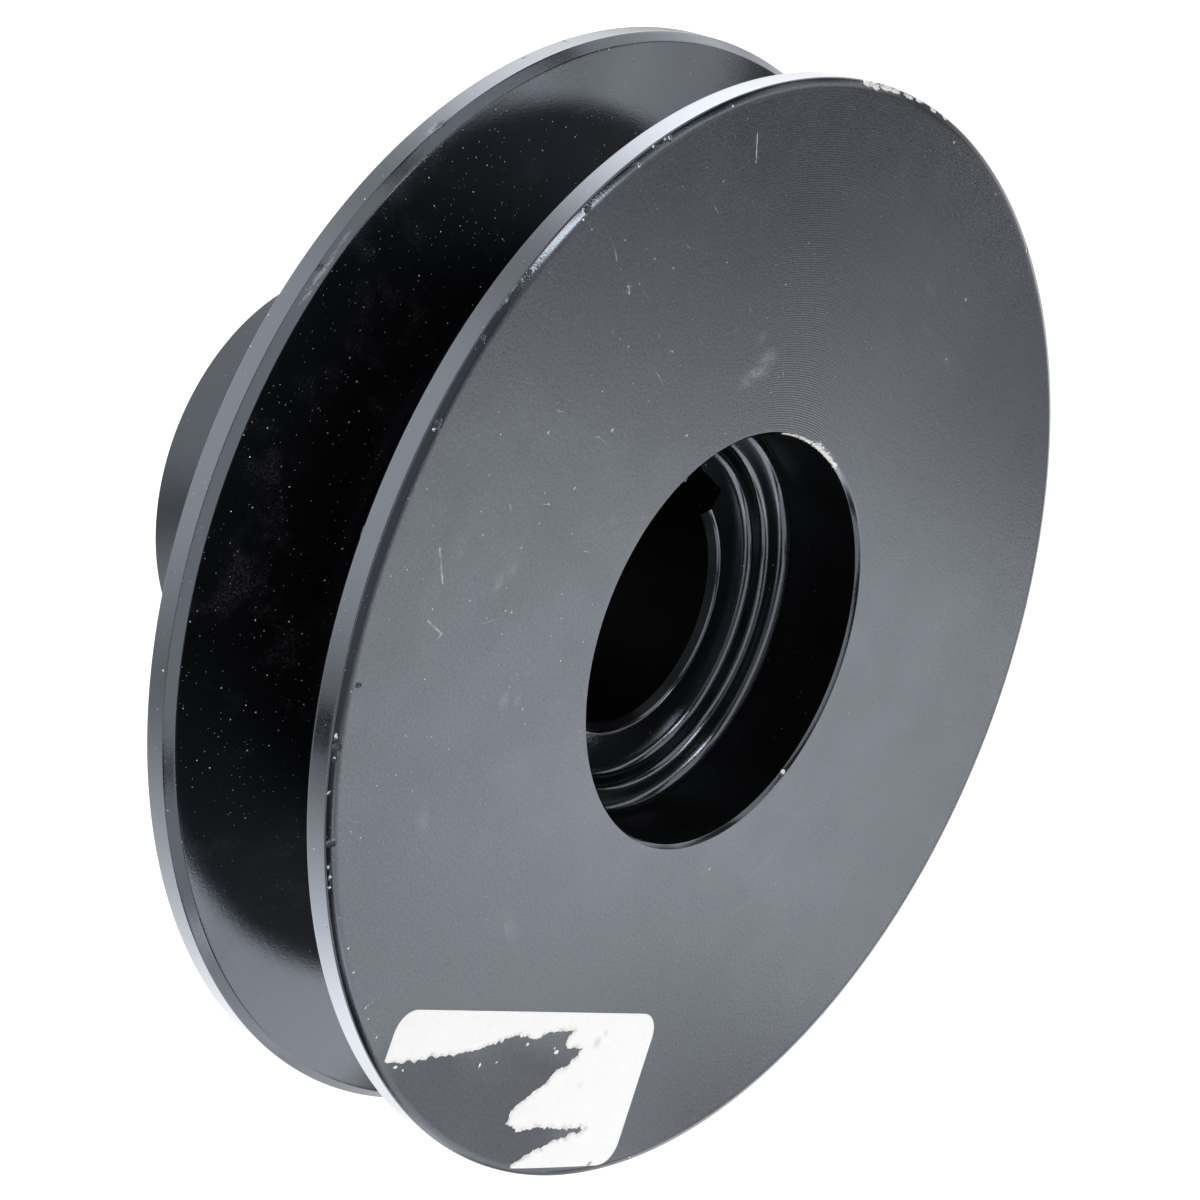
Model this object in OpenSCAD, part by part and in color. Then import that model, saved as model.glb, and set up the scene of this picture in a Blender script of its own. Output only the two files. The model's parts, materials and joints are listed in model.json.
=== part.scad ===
// Spindle pulley: a one-piece turned V-belt pulley with a long hub behind one wide rim,
// a stepped recess in its front face and a bore with a keyway.
// A torn remnant of a blank paper label is stuck to the front face.
// The pulley stands on the end of its hub, so Z = 0 is the hub's end and +Z is the bore axis
// towards the front face. The keyway lies on the +Y side of the bore.

/* [Rim] */
// Diameter over both flanges
outer_d = 114.3; // [105:0.1:130]
// Width of the rim, from its rear face to the front face
rim_w = 23.6; // [22.8:0.1:30]
// Width of the turned bevel on the front corner, across the face
bevel_w = 0.95; // [0.5:0.05:1.5]
// Height of that bevel, along the axis
bevel_h = 0.4; // [0.2:0.05:0.8]
// Rounding where the bevel meets the outside diameter
bevel_outer_r = 0.25; // [0.05:0.05:0.3]
// Rounding where the bevel runs out into the front face
bevel_inner_r = 2; // [0.5:0.1:2.5]

/* [Groove] */
// Width of the belt groove, its flanks carried out to the outside diameter
groove_w = 17.5; // [14:0.1:18]
// Included angle between the two flanks
groove_angle = 36; // [32:1:38]
// Depth of the groove below the outside diameter
groove_depth = 17; // [12:0.1:19]
// Distance from the front face back to the middle plane of the groove
groove_mid = 11.95; // [11.6:0.05:12.3]
// Size of the 45 degree break between flank and outside diameter
groove_break = 0.85; // [0.3:0.05:1]
// Radius between flank and groove floor
groove_root_r = 1.5; // [0.5:0.1:2]

/* [Hub] */
// Outside diameter of the hub
hub_d = 47; // [44:0.1:60]
// Length of the hub behind the rear face of the rim
hub_len = 34.5; // [15:0.1:60]
// Fillet between the hub and the rear face
hub_fillet_r = 3; // [1:0.5:6]
// Small break on the hub's end and on the rear corner of the rim
edge_break = 0.3; // [0.1:0.05:0.8]

/* [Bore] */
// Diameter of the shaft bore
bore_d = 25.4; // [20:0.1:28]
// Size of the 45 degree chamfer at both ends of the bore
bore_chamfer = 0.9; // [0.3:0.05:1.2]
// Width of the keyway
key_w = 6.35; // [4:0.05:8]
// Depth of the keyway beyond the wall of the bore
key_depth = 2.9; // [2:0.05:3.5]

/* [Recess] */
// Diameter of the recess in the front face
recess_d = 42.9; // [41.5:0.1:60]
// Depth of the recess below the front face
recess_depth = 9.95; // [6:0.05:14]
// Size of the 45 degree chamfer at the mouth of the recess
recess_chamfer = 0.4; // [0.2:0.05:0.8]
// Fillet between the wall of the recess and its floor
recess_fillet_r = 1.3; // [0.5:0.1:1.5]
// Diameter of the inner step where it leaves the recess floor
step_d = 37.6; // [37:0.1:38.4]
// Diameter of the inner step at its own floor
step_floor_d = 36.1; // [35:0.1:36.8]
// Depth of the inner step below the recess floor
step_depth = 2.1; // [1.7:0.05:4]
// Rounding of the step's upper edge and fillet at its foot
step_r = 1; // [0.3:0.1:1.1]

/* [Label] */
// Length of the paper label before it was torn
label_l = 43; // [41:0.1:45]
// Height of the paper label
label_h = 16.6; // [16:0.1:16.8]
// Corner radius of the label
label_corner_r = 2; // [1:0.1:3]
// Thickness of the paper
label_t = 0.12; // [0.08:0.01:0.3]
// Distance of the label's centre in from the outside diameter
label_inset = 7.85; // [7.8:0.05:10]
// Direction of the label's centre, counter-clockwise from +X
label_dir = 275.8; // [0:0.1:359]
// Turn of the label's long side, counter-clockwise from +X
label_turn = 20.5; // [0:0.1:359]

/* [Hidden] */
$fn = 96;
arc_steps = 6;
overcut = 1;
coating_colour = [0.07, 0.07, 0.08];
paper_colour = [0.93, 0.93, 0.92];
tight_r = 0.12;
soft_r = 0.3;
// Where the paper tore, from the left end to the lower edge, measured from the label's centre
torn_edge = [
    [-18.7, 2.9], [-14.2, 3.6], [-9, 4.1], [-2.5, 5.6], [1, 5.3], [7.3, 6.3],
    [6.7, 4.7], [9.7, 4.3], [5.4, 1], [1.4, -1.7], [0.7, -3.4], [3, -4.3],
    [6.3, -3.9], [14.8, -4.1], [7.6, -6.1], [3.9, -7.8]
];

outer_r = outer_d / 2;
bore_r = bore_d / 2;
hub_r = hub_d / 2;
recess_r = recess_d / 2;
step_r_top = step_d / 2;
step_r_floor = step_floor_d / 2;
front_z = hub_len + rim_w;
recess_floor_z = front_z - recess_depth;
step_floor_z = recess_floor_z - step_depth;
groove_z = front_z - groove_mid;
groove_floor_r = outer_r - groove_depth;
flank_slope = tan(groove_angle / 2);
break_r = outer_r - groove_break;
break_half_w = groove_w / 2 - groove_break * flank_slope;
floor_half_w = groove_w / 2 - groove_depth * flank_slope;
label_centre_r = outer_r - label_inset;

// A direction of length 1
function unit(v) = v / norm(v);

// The arc of radius r that rounds corner b between its neighbours a and c, as a list of points
function rounded(a, b, c, r) =
    let (
        to_a = unit(a - b),
        to_c = unit(c - b),
        half = acos(to_a * to_c) / 2,
        centre = b + unit(to_a + to_c) * r / sin(half),
        from = b + to_a * r / tan(half) - centre,
        to = b + to_c * r / tan(half) - centre,
        turn = (180 - 2 * half) * sign(from.x * to.y - from.y * to.x)
    )
    [for (i = [0:arc_steps])
        let (k = turn * i / arc_steps)
        centre + [from.x * cos(k) - from.y * sin(k), from.x * sin(k) + from.y * cos(k)]];

// A closed outline from corners given as [x, y, rounding radius]
function outline(corners) =
    let (n = len(corners))
    [for (i = [0:n - 1])
        let (
            a = corners[(i + n - 1) % n],
            b = corners[i],
            c = corners[(i + 1) % n]
        )
        each b.z > 0
            ? rounded([a.x, a.y], [b.x, b.y], [c.x, c.y], b.z)
            : [[b.x, b.y]]];

// Half section of the turned body, [radius, height, rounding], from the hub's end
// round the outside to the front face and back through the recess and bore
function hub_and_rear_face() = [
    [bore_r + bore_chamfer, 0, 0],
    [hub_r - edge_break, 0, 0],
    [hub_r, edge_break, 0],
    [hub_r, hub_len, hub_fillet_r],
    [outer_r - edge_break, hub_len, 0],
    [outer_r, hub_len + edge_break, 0]
];

function groove_side(side) = [
    [outer_r, groove_z + side * (break_half_w + groove_break), tight_r],
    [break_r, groove_z + side * break_half_w, soft_r],
    [groove_floor_r, groove_z + side * floor_half_w, groove_root_r]
];

function front_corner() = [
    [outer_r, front_z - bevel_h, bevel_outer_r],
    [outer_r - bevel_w, front_z, bevel_inner_r]
];

function recess_and_bore() = [
    [recess_r + recess_chamfer, front_z, tight_r],
    [recess_r, front_z - recess_chamfer, tight_r],
    [recess_r, recess_floor_z, recess_fillet_r],
    [step_r_top, recess_floor_z, step_r],
    [step_r_floor, step_floor_z, step_r],
    [bore_r + bore_chamfer, step_floor_z, soft_r],
    [bore_r, step_floor_z - bore_chamfer, soft_r],
    [bore_r, bore_chamfer, 0]
];

module turned_body() {
    lower = groove_side(-1);
    upper = groove_side(1);
    rotate_extrude()
        polygon(outline(concat(
            hub_and_rear_face(),
            lower,
            [upper[2], upper[1], upper[0]],
            front_corner(),
            recess_and_bore()
        )));
}

// Broached through the whole bore, so it opens on the step's floor and on the hub's end
module keyway() {
    translate([-key_w / 2, 0, -overcut])
        cube([key_w, bore_r + key_depth, step_floor_z + 2 * overcut]);
}

module pulley() {
    color(coating_colour)
        difference() {
            turned_body();
            keyway();
        }
}

// The area torn out of the label, from the torn edge out past its lower left corner
module torn_area() {
    left = -label_l / 2 - overcut;
    bottom = -label_h / 2 - overcut;
    first = torn_edge[0];
    last = torn_edge[len(torn_edge) - 1];
    polygon(concat([[left, first.y]], torn_edge, [[last.x, bottom], [left, bottom]]));
}

module paper_label() {
    x = label_l / 2;
    y = label_h / 2;
    color(paper_colour)
        translate([
            label_centre_r * cos(label_dir),
            label_centre_r * sin(label_dir),
            front_z
        ])
        rotate(label_turn)
        linear_extrude(label_t)
        difference() {
            polygon(outline([for (c = [[-x, -y], [x, -y], [x, y], [-x, y]])
                [c.x, c.y, label_corner_r]]));
            torn_area();
        }
}

pulley();
paper_label();
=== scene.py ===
"""A spindle pulley with a torn paper label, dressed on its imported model.

Everything is in metres in the row frame: Z = 0 is the hub's end, +Z is the bore axis towards the
front face, and the keyway is on the +Y side. Sizes in the tables below are millimetres, and
angles are degrees counter-clockwise from +X as seen from the front.
"""

import json
import math
from types import SimpleNamespace

import bmesh
import bpy
import numpy as np
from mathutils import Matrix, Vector
from mathutils.geometry import delaunay_2d_cdt


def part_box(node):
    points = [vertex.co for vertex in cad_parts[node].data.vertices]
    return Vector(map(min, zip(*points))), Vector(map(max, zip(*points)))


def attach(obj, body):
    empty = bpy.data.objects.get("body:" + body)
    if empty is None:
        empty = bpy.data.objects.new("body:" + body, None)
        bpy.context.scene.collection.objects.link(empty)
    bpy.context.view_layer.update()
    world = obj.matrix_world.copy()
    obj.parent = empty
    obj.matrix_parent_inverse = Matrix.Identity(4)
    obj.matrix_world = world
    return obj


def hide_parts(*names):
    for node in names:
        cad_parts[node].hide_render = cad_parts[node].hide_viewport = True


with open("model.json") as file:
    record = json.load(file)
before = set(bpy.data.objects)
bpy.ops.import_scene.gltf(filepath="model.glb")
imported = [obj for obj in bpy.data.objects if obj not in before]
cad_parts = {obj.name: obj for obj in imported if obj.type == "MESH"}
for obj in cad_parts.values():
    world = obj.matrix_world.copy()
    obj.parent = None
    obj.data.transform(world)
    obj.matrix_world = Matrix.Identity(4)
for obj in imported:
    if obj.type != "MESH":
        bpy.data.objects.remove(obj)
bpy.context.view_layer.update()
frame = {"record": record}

MM = 0.001

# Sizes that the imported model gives
pulley_low, pulley_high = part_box("pulley")
label_low, label_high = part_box("paper_label")
OUTER_R = min(-pulley_low.x, -pulley_low.y, pulley_high.x, pulley_high.y) / MM
FRONT_Z = pulley_high.z / MM
MOUNTS = {m["name"]: m for m in frame["record"]["mounts"]}
BORE_R = MOUNTS["shaft_bore"]["dims"]["r_mm"]
RECESS_R = MOUNTS["front_recess"]["dims"]["r_mm"]
STEP_FLOOR_Z = MOUNTS["washer_seat"]["pos_m"][2] / MM
LABEL_T = (label_high.z - pulley_high.z) / MM

# The turned body
HUB_R = 23.5
HUB_LEN = 34.5
GROOVE_Z = FRONT_Z - 11.95
GROOVE_DEPTH = 17
GROOVE_BREAK = 0.85
GROOVE_SLOPE = math.tan(math.radians(18))
GROOVE_HALF_W = 8.75
BEVEL_W = 0.95
BEVEL_H = 0.4
RECESS_FLOOR_Z = FRONT_Z - 9.95
RECESS_CHAMFER = 0.4
STEP_TOP_R = 18.8
STEP_FLOOR_R = 18.05
BORE_CHAMFER = 0.9
EDGE_BREAK = 0.3
KEY_W = 6.35
KEY_DEPTH = 2.9
KEY_CORNER_R = 0.25
OVERCUT = 1
SEGMENTS = 360

# Its roundings
FINE_R = 0.08
HUB_EDGE_R = 0.1
TIGHT_R = 0.12
BEVEL_OUTER_R = 0.25
SOFT_R = 0.3
STEP_R = 1
RECESS_FILLET_R = 1.3
GROOVE_ROOT_R = 1.5
BEVEL_INNER_R = 2
HUB_FILLET_R = 3

# The label before it was torn, and where it lies on the front face
LABEL_L = 43.0
LABEL_H = 16.6
LABEL_CORNER_R = 2.6
LABEL_END_GAP = 0.1
LABEL_CENTRE = 49.3 * np.array([math.cos(math.radians(275.8)), math.sin(math.radians(275.8))])
LABEL_TURN = math.radians(20.5)
LABEL_AXES = np.array([
    [math.cos(LABEL_TURN), math.sin(LABEL_TURN)],
    [-math.sin(LABEL_TURN), math.cos(LABEL_TURN)],
])
# Where the paper tore, from the left end to the lower edge, from the label's centre
TORN_EDGE = [
    (-21.5, 3.1), (-18.7, 2.9), (-14.2, 3.6), (-12.4, 3.6), (-9, 4.1), (-5.7, 4.8),
    (-2.5, 5.7), (-0.4, 5.8), (1, 5.4), (3.2, 6.2), (7.3, 6.4), (6.6, 5.3), (7.1, 4.5),
    (9.8, 4.5), (9.3, 3.7), (5.8, 1.5), (5, 0.6), (1.4, -1.7), (0.7, -3.5), (3, -4.4),
    (6.3, -3.9), (11.1, -4.2), (14.8, -4.1), (10.6, -5.3), (7.6, -6.1), (3.9, -7.8), (4.1, -8.3),
]
# Scraps of paper left where the rest tore off: (x, y, length, width, turn)
SCRAPS = [
    (-6.5, 2.7, 0.6, 0.22, 80), (-3.9, 3, 0.3, 0.16, 30), (-19.6, 2.5, 0.6, 0.3, 10),
    (5.5, 4.1, 0.7, 0.45, 20), (5, 4.5, 0.3, 0.2, 70), (-18.3, 2.2, 0.3, 0.2, 150),
    (0.2, 4.9, 0.5, 0.3, 15),
]
SCRAP_POINTS = 14
FIRST_SCRAP_SEED = 40
# How far the paper's underside reaches into the face, which leaves no gap
SUNK = 0.01


# Turning the body
def arc_points(before, corner, after, radius, steps):
    """The arc of that radius that rounds a corner between its two neighbours."""
    before, corner, after = (np.array(p, float) for p in (before, corner, after))
    to_before = (before - corner) / np.linalg.norm(before - corner)
    to_after = (after - corner) / np.linalg.norm(after - corner)
    half = math.acos(float(np.clip(to_before @ to_after, -1, 1))) / 2
    middle = to_before + to_after
    centre = corner + middle / np.linalg.norm(middle) * radius / math.sin(half)
    start = corner + to_before * radius / math.tan(half) - centre
    end = corner + to_after * radius / math.tan(half) - centre
    turn = math.copysign(math.pi - 2 * half, start[0] * end[1] - start[1] * end[0])
    k = turn * np.arange(steps + 1) / steps
    side = np.array([-start[1], start[0]])
    points = centre + np.outer(np.cos(k), start) + np.outer(np.sin(k), side)
    return [tuple(point) for point in points]


def arc_steps(radius):
    """Enough steps for a smooth arc of that radius."""
    if radius < 0.2:
        return 3
    if radius < 0.8:
        return 4
    return 8


def corners():
    """Corners (radius, height, rounding) of the half section, from the hub's end round the outside."""
    break_half_w = GROOVE_HALF_W - GROOVE_BREAK * GROOVE_SLOPE
    floor_half_w = GROOVE_HALF_W - GROOVE_DEPTH * GROOVE_SLOPE

    def groove_side(side):
        return [
            (OUTER_R, GROOVE_Z + side * (break_half_w + GROOVE_BREAK), TIGHT_R),
            (OUTER_R - GROOVE_BREAK, GROOVE_Z + side * break_half_w, SOFT_R),
            (OUTER_R - GROOVE_DEPTH, GROOVE_Z + side * floor_half_w, GROOVE_ROOT_R),
        ]

    return [
        (BORE_R + BORE_CHAMFER, 0, FINE_R),
        (HUB_R - EDGE_BREAK, 0, HUB_EDGE_R),
        (HUB_R, EDGE_BREAK, HUB_EDGE_R),
        (HUB_R, HUB_LEN, HUB_FILLET_R),
        (OUTER_R - EDGE_BREAK, HUB_LEN, TIGHT_R),
        (OUTER_R, HUB_LEN + EDGE_BREAK, TIGHT_R),
        *groove_side(-1),
        *reversed(groove_side(1)),
        (OUTER_R, FRONT_Z - BEVEL_H, BEVEL_OUTER_R),
        (OUTER_R - BEVEL_W, FRONT_Z, BEVEL_INNER_R),
        (RECESS_R + RECESS_CHAMFER, FRONT_Z, TIGHT_R),
        (RECESS_R, FRONT_Z - RECESS_CHAMFER, TIGHT_R),
        (RECESS_R, RECESS_FLOOR_Z, RECESS_FILLET_R),
        (STEP_TOP_R, RECESS_FLOOR_Z, STEP_R),
        (STEP_FLOOR_R, STEP_FLOOR_Z, STEP_R),
        (BORE_R + BORE_CHAMFER, STEP_FLOOR_Z, SOFT_R),
        (BORE_R, STEP_FLOOR_Z - BORE_CHAMFER, SOFT_R),
        (BORE_R, BORE_CHAMFER, FINE_R),
    ]


def between(start, end):
    """Points on a straight run: one close to each end, which keeps the shading flat, and more between."""
    length = float(np.linalg.norm(end - start))
    if length < 0.5:
        return []
    near = min(0.2, length / 4)
    inner = max(1, round((length - 2 * near) / 5))
    shares = [near / length + (1 - 2 * near / length) * i / inner for i in range(inner + 1)]
    return [tuple(start + (end - start) * s) for s in shares]


def corner_arc(named, i, steps):
    """The rounding of corner i of the half section."""
    before, corner, after = named[i - 1], named[i], named[(i + 1) % len(named)]
    return arc_points(before[:2], corner[:2], after[:2], corner[2], steps)


def half_section():
    """Points (radius, height) of the rounded outline."""
    named = corners()
    arcs = [corner_arc(named, i, arc_steps(corner[2])) for i, corner in enumerate(named)]
    points = []
    for i, arc in enumerate(arcs):
        points.extend(arc)
        following = arcs[(i + 1) % len(arcs)]
        points.extend(between(np.array(arc[-1]), np.array(following[0])))
    return points


def lathe_mesh(name, outline):
    """A closed surface of revolution about Z from an outline of (radius, height) points."""
    outline = np.array(outline) * MM
    count = len(outline)
    angles = 2 * math.pi * np.arange(SEGMENTS) / SEGMENTS
    verts = np.empty((SEGMENTS, count, 3))
    verts[:, :, 0] = np.outer(np.cos(angles), outline[:, 0])
    verts[:, :, 1] = np.outer(np.sin(angles), outline[:, 0])
    verts[:, :, 2] = outline[:, 1]
    a, i = np.meshgrid(np.arange(SEGMENTS), np.arange(count), indexing="ij")
    b = (a + 1) % SEGMENTS
    j = (i + 1) % count
    faces = np.stack([a * count + i, b * count + i, b * count + j, a * count + j], axis=-1)
    mesh = bpy.data.meshes.new(name)
    mesh.from_pydata(verts.reshape(-1, 3).tolist(), [], faces.reshape(-1, 4).tolist())
    mesh.update()
    return mesh


def add_object(name, mesh):
    obj = bpy.data.objects.new(name, mesh)
    bpy.context.scene.collection.objects.link(obj)
    return obj


def vectors(items, name):
    """The vector of that name of each vertex or face."""
    values = np.empty(len(items) * 3)
    items.foreach_get(name, values)
    return values.reshape(-1, 3)


def finished(name, work):
    """The mesh from the bmesh, which is freed."""
    mesh = bpy.data.meshes.new(name)
    work.to_mesh(mesh)
    work.free()
    return mesh


def shade_smooth(mesh, sharp_angle):
    mesh.polygons.foreach_set("use_smooth", [True] * len(mesh.polygons))
    mesh.set_sharp_from_angle(angle=math.radians(sharp_angle))


def cut_keyway(body):
    """Broaches the keyway through the whole bore."""
    low = (-KEY_W / 2, 0, -OVERCUT)
    high = (KEY_W / 2, BORE_R + KEY_DEPTH, STEP_FLOOR_Z + OVERCUT)
    work = bmesh.new()
    bmesh.ops.create_cube(work, size=1)
    for vert in work.verts:
        vert.co = Vector([(low if c < 0 else high)[k] * MM for k, c in enumerate(vert.co)])
    long_edges = [e for e in work.edges if abs(e.verts[0].co.z - e.verts[1].co.z) > MM]
    floor_edges = [e for e in long_edges if e.verts[0].co.y > MM]
    bmesh.ops.bevel(work, geom=floor_edges, offset=KEY_CORNER_R * MM, segments=3, affect="EDGES")
    cutter = add_object("keyway_cutter", finished("keyway_cutter", work))
    modifier = body.modifiers.new("keyway", "BOOLEAN")
    modifier.operation = "DIFFERENCE"
    modifier.solver = "EXACT"
    modifier.object = cutter
    bpy.context.view_layer.update()
    graph = bpy.context.evaluated_depsgraph_get()
    cut = bpy.data.meshes.new_from_object(body.evaluated_get(graph))
    body.modifiers.clear()
    body.data = cut
    bpy.data.objects.remove(cutter)


# Wear: chips, dents, scratches and specks
def on_face(angle, r, *rest):
    """A mark on the front face or on its bevel, at that radius."""
    return (angle, r, front_height(r), *rest)


def front_height(r):
    """Height of the front face or its bevel at that radius."""
    named = corners()
    k = next(i for i, c in enumerate(named) if c[:2] == (OUTER_R - BEVEL_W, FRONT_Z))
    outer = corner_arc(named, k - 1, 8)
    inner = corner_arc(named, k, 8)
    profile = [(0, FRONT_Z), *reversed(inner), *reversed(outer)]
    return float(np.interp(r, *zip(*profile)))


def on_mouth(angle, *rest):
    """A mark on the chamfer round the recess."""
    return (angle, RECESS_R + RECESS_CHAMFER / 2, FRONT_Z - RECESS_CHAMFER / 2, *rest)


# Radius of marks on the outer wall
WALL_R = OUTER_R - 0.03

# Marks: (angle, radius, height, half width round the axis, half width across, depth), on the
# face without the height. Chips show bright metal, and dents keep their coating
FACE_CHIPS = [
    (76.2, 56.6, 0.18, 0.38, 0.08), (101.6, 57, 0.5, 0.24, 0.06), (104.2, 56.95, 0.8, 0.28, 0.07),
    (107, 57, 0.8, 0.22, 0.06), (109.2, 56.9, 1, 0.26, 0.07), (111.8, 56.9, 0.9, 0.3, 0.08),
    (113.6, 56.9, 1.2, 0.38, 0.08), (115.4, 56.8, 1.1, 0.48, 0.1), (116.8, 56.9, 0.9, 0.44, 0.12),
    (148, 56.8, 0.14, 0.34, 0.1), (148.6, 56.9, 0.07, 0.3, 0.05), (150.2, 57, 0.16, 0.2, 0.06),
    (152.8, 56.4, 0.12, 0.24, 0.06), (138.8, 56.5, 0.14, 0.12, 0.04),
    (161.2, 56.2, 0.14, 0.16, 0.04), (185.9, 56.6, 0.14, 0.24, 0.08), (214.9, 56.8, 0.36, 0.2, 0.1),
    (217, 56.7, 0.1, 0.2, 0.04), (220.4, 57, 0.1, 0.12, 0.04), (227.9, 56.8, 0.16, 0.15, 0.06),
    (229, 56.7, 0.2, 0.16, 0.06), (230.1, 56.8, 0.13, 0.12, 0.05), (237.6, 55.7, 0.1, 0.2, 0.03),
    (240.6, 55.7, 0.1, 0.24, 0.03), (245.6, 55.6, 0.1, 0.22, 0.03), (247, 55.7, 0.12, 0.16, 0.03),
    (249.8, 55.6, 0.1, 0.2, 0.03),
]
RIM_CHIPS = [
    (234.4, WALL_R, 57.25, 0.1, 0.26, 0.04),
    (196.6, OUTER_R - 0.4, 55.1, 0.6, 0.22, 0.1),
    (181.4, OUTER_R - 0.25, HUB_LEN + 0.4, 0.34, 0.36, 0.12),
    (176.8, OUTER_R - 0.66, 37.2, 0.52, 0.15, 0.05),
    (177.6, OUTER_R - 0.62, 37.2, 0.46, 0.16, 0.05),
    (178.5, OUTER_R - 0.6, 37.15, 0.5, 0.12, 0.05),
    (173.6, OUTER_R - 0.1, 36.66, 1.9, 0.05, 0.02),
    (175.2, OUTER_R - 0.2, 36.75, 0.5, 0.14, 0.04),
    (215.8, WALL_R, 36.3, 0.1, 0.2, 0.04),
    (216.4, WALL_R, 35.7, 0.08, 0.22, 0.04),
    (171, OUTER_R - 1.2, 38.1, 0.26, 0.2, 0.08),
]
# Without radius and height
MOUTH_CHIPS = [
    (86.8, 0.9, 0.34, 0.07), (89.8, 1.1, 0.38, 0.08), (92.6, 0.95, 0.42, 0.09),
    (96, 1.3, 0.44, 0.1), (98.4, 0.9, 0.46, 0.1), (101.6, 1.1, 0.34, 0.07),
    (105.6, 1.4, 0.27, 0.05), (109.8, 1.2, 0.22, 0.04), (113.6, 1.1, 0.18, 0.03),
    # The chip at 345.2 degrees is a painted highlight: bright bare metal standing in for a glint on the
    # mouth's chamfer
    (159.3, 0.12, 0.24, 0.05), (345.2, 0.3, 0.24, 0.06),
]
CHIPS = [on_face(*chip) for chip in FACE_CHIPS] + RIM_CHIPS
CHIPS += [on_mouth(*chip) for chip in MOUTH_CHIPS]
DENTS = [
    on_face(160.2, 56.6, 0.36, 0.3, 0.18),
    on_face(169, 56.8, 0.3, 0.2, 0.08),
    on_face(170.2, 57, 0.2, 0.16, 0.08),
    on_face(176.5, 56.8, 0.2, 0.2, 0.08),
    on_face(185.4, 56.5, 0.44, 0.42, 0.22),
    on_face(210.1, 55.3, 0.26, 0.4, 0.16),
    on_face(225.5, 56.5, 0.2, 0.6, 0.14),
    on_face(216, 56.6, 0.26, 0.55, 0.14),
    (156.2, OUTER_R - 0.12, 36.6, 1.4, 0.48, 0.12),
    (175.3, OUTER_R - 0.25, 36.8, 0.5, 0.26, 0.1),
    (147.3, WALL_R, 36, 0.12, 0.55, 0.07),
    (142.2, OUTER_R - 0.1, HUB_LEN + 0.35, 0.3, 0.55, 0.2),
    (136.3, OUTER_R - 0.1, HUB_LEN + 0.35, 0.26, 0.5, 0.18),
]
# Long scrapes that bared grey metal, with the same six values
SCRAPES = [
    (175.2, OUTER_R - 0.62, 37.2, 3.7, 0.26, 0.03),
    (146.3, OUTER_R - 0.3, 57.5, 1.2, 0.1, 0.02),
    (171.8, 57, 57.72, 1.8, 0.08, 0.02),
]
# Scratches on the face, from one (angle, radius) to the other
SCRATCHES = [
    (156.6, 49.8, 158.4, 45.2), (158.5, 51.1, 158.7, 49.5), (134.9, 53.2, 134.9, 50),
    (161.1, 55.1, 161.2, 54), (203.6, 47.8, 205.9, 43.9), (194.6, 50.2, 199.4, 47.2),
    (171.6, 36.2, 172.8, 34.6), (187, 29.8, 188.4, 28.6),
]
# Specks on the face: (angle, radius, size)
SPECKS = [
    (128.2, 51.8, 0.16), (133.8, 50.4, 0.15), (120.6, 47.7, 0.17), (130.9, 46.4, 0.13),
    (142.1, 47.3, 0.15), (153.1, 35.8, 0.26), (157.2, 34.5, 0.2), (172.8, 38, 0.3),
    (169.4, 34.7, 0.22), (169.6, 32.6, 0.17), (152.1, 30.3, 0.22), (153.6, 26.2, 0.22),
    (176.1, 25.7, 0.16), (133.9, 35, 0.14), (152.6, 39, 0.15), (176.6, 43.4, 0.24),
    (175.1, 42.9, 0.2), (177.8, 42.3, 0.26), (180.2, 42.7, 0.18), (182.4, 38.7, 0.16),
    (183.9, 38.4, 0.26), (185.6, 39.4, 0.2), (184.7, 37, 0.28), (185.8, 36, 0.2),
    (180.5, 34.7, 0.18), (188.1, 42.3, 0.16), (202.9, 38.9, 0.22), (201.3, 37.1, 0.17),
    (201.4, 36.2, 0.2), (205.8, 32.3, 0.2), (204.8, 34.9, 0.17), (208.6, 44.1, 0.18),
    (220.2, 43, 0.16), (223.5, 43, 0.2), (211.3, 32.2, 0.17), (218.1, 31.4, 0.18),
    (207.6, 35.4, 0.16), (122, 28, 0.22), (80.6, 45.9, 0.2), (76, 40.4, 0.14),
    (98.7, 55.5, 0.18), (87.1, 55.6, 0.14), (9, 26.8, 0.14), (312.4, 25.4, 0.2),
]
# Soft lighter smudges: (angle, radius, half width round the axis, half width across, strength)
SMUDGES = [
    (130.6, 28.4, 2.4, 1, 1), (127.6, 29.6, 1.8, 1, 1), (133.4, 27.9, 1.6, 0.8, 1),
    (130.2, 32, 0.8, 0.7, 0.7), (197.6, 39.4, 1.4, 1, 0.7), (195.4, 38.2, 1.8, 1.2, 0.4),
    (193.6, 46.8, 3.2, 1.8, 0.35), (201.2, 48.6, 2.6, 1.6, 0.35), (228.6, 44.6, 1.6, 1.2, 0.4),
    (215.6, 34.3, 1.4, 0.9, 0.5), (216.1, 32.3, 1.1, 0.8, 0.5), (256, 37.5, 3, 1.4, 0.35),
    (75.6, 40.4, 1.6, 0.5, 0.35), (88.6, 42.6, 1.8, 0.5, 0.3), (84.2, 39.6, 1.5, 0.4, 0.3),
    (310.5, 25.4, 1.2, 0.5, 0.4), (28.6, 38.3, 0.8, 0.7, 0.35), (12.1, 38.9, 0.7, 0.9, 0.3),
    (322, 32.6, 3.4, 0.5, 0.2), (330, 29.6, 3, 0.5, 0.2),
]
# Dull dark spots, with the same five values
DARK_SPOTS = [
    (243.8, 47, 0.34, 0.4, 0.8), (250.6, 45.3, 0.36, 0.55, 0.9), (323, 48.3, 0.5, 0.62, 0.8),
    (67.8, 35.8, 1.1, 0.7, 0.25), (243.4, 54.6, 0.14, 0.3, 0.7), (254, 37.8, 0.5, 0.8, 0.4),
]
RANDOM_RIM_CHIPS = 26
UNSEEN_SIDE = (262, 430)
RANDOM_FACE_SPECKS = 60
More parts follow.
